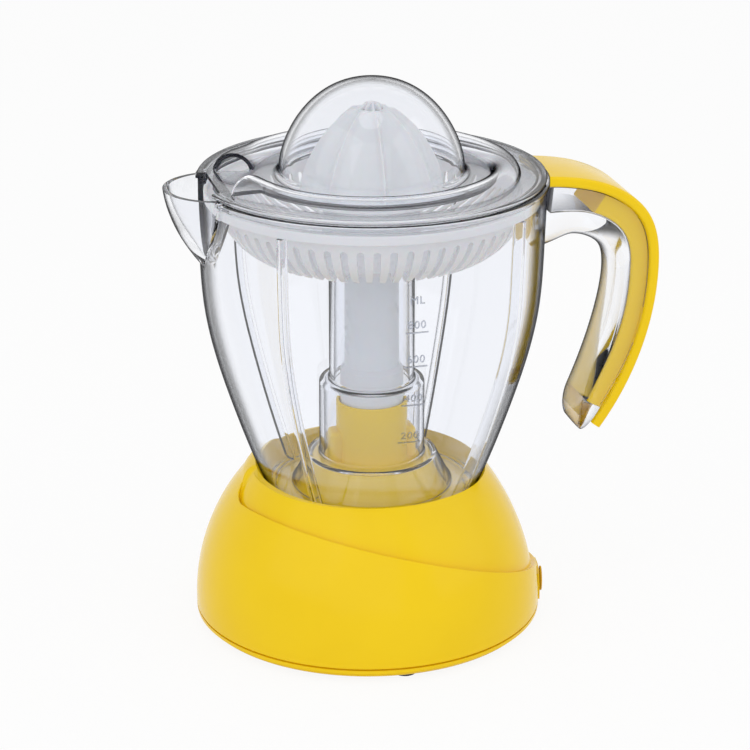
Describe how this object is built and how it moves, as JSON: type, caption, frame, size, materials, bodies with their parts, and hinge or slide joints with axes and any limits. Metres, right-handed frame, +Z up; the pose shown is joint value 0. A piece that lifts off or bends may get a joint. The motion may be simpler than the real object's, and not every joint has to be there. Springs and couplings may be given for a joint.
{
  "type": "electric citrus press",
  "caption": "Tabletop citrus press: domed motor base, clear jug with spout and hooked handle, slotted strainer, fluted reamer cones and a domed dust cover.",
  "frame": {"origin": "on the table, below the middle of the box round the whole object; the drive axis is at x = -17.1 mm, y = 0", "axes": "+Z up; +X from the spout towards the handle; +Y away from the side with the volume scale"},
  "size_m": [0.2112, 0.1508, 0.2406],
  "materials": {
    "yellow_plastic": "glossy moulded yellow plastic",
    "clear_plastic": "clear moulded plastic with a faint grey-blue edge",
    "white_plastic": "white moulded plastic, slightly translucent",
    "black_rubber": "matt black rubber",
    "yellow_rubber": "soft yellow rubber",
    "dark_plastic": "matt dark plastic",
    "gear_plastic": "natural nylon",
    "steel": "plain bright steel",
    "zinc_steel": "zinc-plated steel",
    "core_steel": "stamped core steel",
    "bronze": "sintered bronze",
    "copper_wire": "enamelled copper wire"
  },
  "bodies": {
    "base": {"base_housing": "yellow_plastic", "bottom_cover": "yellow_plastic", "rubber_feet": "black_rubber", "cover_screws": "zinc_steel", "inlet_plate": "yellow_plastic", "inlet_grommet": "yellow_rubber", "gear_plate": "steel", "plate_screws": "zinc_steel", "stator_core": "core_steel", "coil_bobbin": "dark_plastic", "coil_winding": "copper_wire", "lower_bearing_bracket": "steel", "upper_bearing_bracket": "steel", "motor_studs": "zinc_steel", "idler_axle": "steel", "spindle_bush": "bronze", "switch_body": "dark_plastic", "return_spring": "steel"},
    "thrust": {"thrust_plate": "dark_plastic"},
    "spindle": {"drive_spindle": "steel", "output_gear": "gear_plastic", "spindle_collar": "steel", "drive_dog": "steel"},
    "shaft": {"drive_shaft": "white_plastic"},
    "reamer": {"reamer_large": "white_plastic", "reamer_small": "white_plastic"},
    "idler": {"idler_gear": "gear_plastic"},
    "rotor": {"rotor_core": "core_steel", "rotor_shaft": "steel"},
    "plunger": {"switch_plunger": "dark_plastic"},
    "jug": {"jug": "clear_plastic", "handle_cover": "yellow_plastic"},
    "strainer": {"strainer": "white_plastic"},
    "lid": {"dust_cover": "clear_plastic"}
  },
  "joints": [
    {"name": "press", "type": "slide", "parent": "base", "child": "thrust", "axis": [0, 0, 1], "range_m": [-0.0025, 0], "stiffness_N_per_m": 800, "springref_m": 0.005, "deforming": ["return_spring"]},
    {"name": "spindle_spin", "type": "hinge", "parent": "thrust", "child": "spindle", "pos_m": [-0.01709, 0, 0.05], "axis": [0, 0, 1], "continuous": true},
    {"name": "shaft_lift", "type": "slide", "parent": "spindle", "child": "shaft", "axis": [0, 0, 1], "range_m": [0, 0.05]},
    {"name": "reamer_lift", "type": "slide", "parent": "shaft", "child": "reamer", "axis": [0, 0, 1], "range_m": [0, 0.035]},
    {"name": "idler_spin", "type": "hinge", "parent": "base", "child": "idler", "pos_m": [-0.0085, 0.02133, 0.04], "axis": [0, 0, 1], "continuous": true},
    {"name": "rotor_spin", "type": "hinge", "parent": "base", "child": "rotor", "pos_m": [-0.01709, 0.038, 0.018], "axis": [0, 0, 1], "continuous": true},
    {"name": "plunger_slide", "type": "slide", "parent": "base", "child": "plunger", "axis": [0, 0, 1], "range_m": [-0.003, 0]},
    {"name": "jug_lift", "type": "slide", "parent": "base", "child": "jug", "axis": [0, 0, 1], "range_m": [0, 0.05]},
    {"name": "strainer_lift", "type": "slide", "parent": "jug", "child": "strainer", "axis": [0, 0, 1], "range_m": [0, 0.035]},
    {"name": "lid_lift", "type": "slide", "parent": "strainer", "child": "lid", "axis": [0, 0, 1], "range_m": [0, 0.045]}
  ],
  "couplings": [
    {"joint": "idler_spin", "follows": "spindle_spin", "ratio": -3.6},
    {"joint": "rotor_spin", "follows": "spindle_spin", "ratio": 14.4},
    {"joint": "plunger_slide", "follows": "press", "ratio": 1},
    {"joint": "shaft_lift", "follows": "jug_lift", "ratio": 1},
    {"joint": "reamer_lift", "follows": "strainer_lift", "ratio": 1}
  ]
}
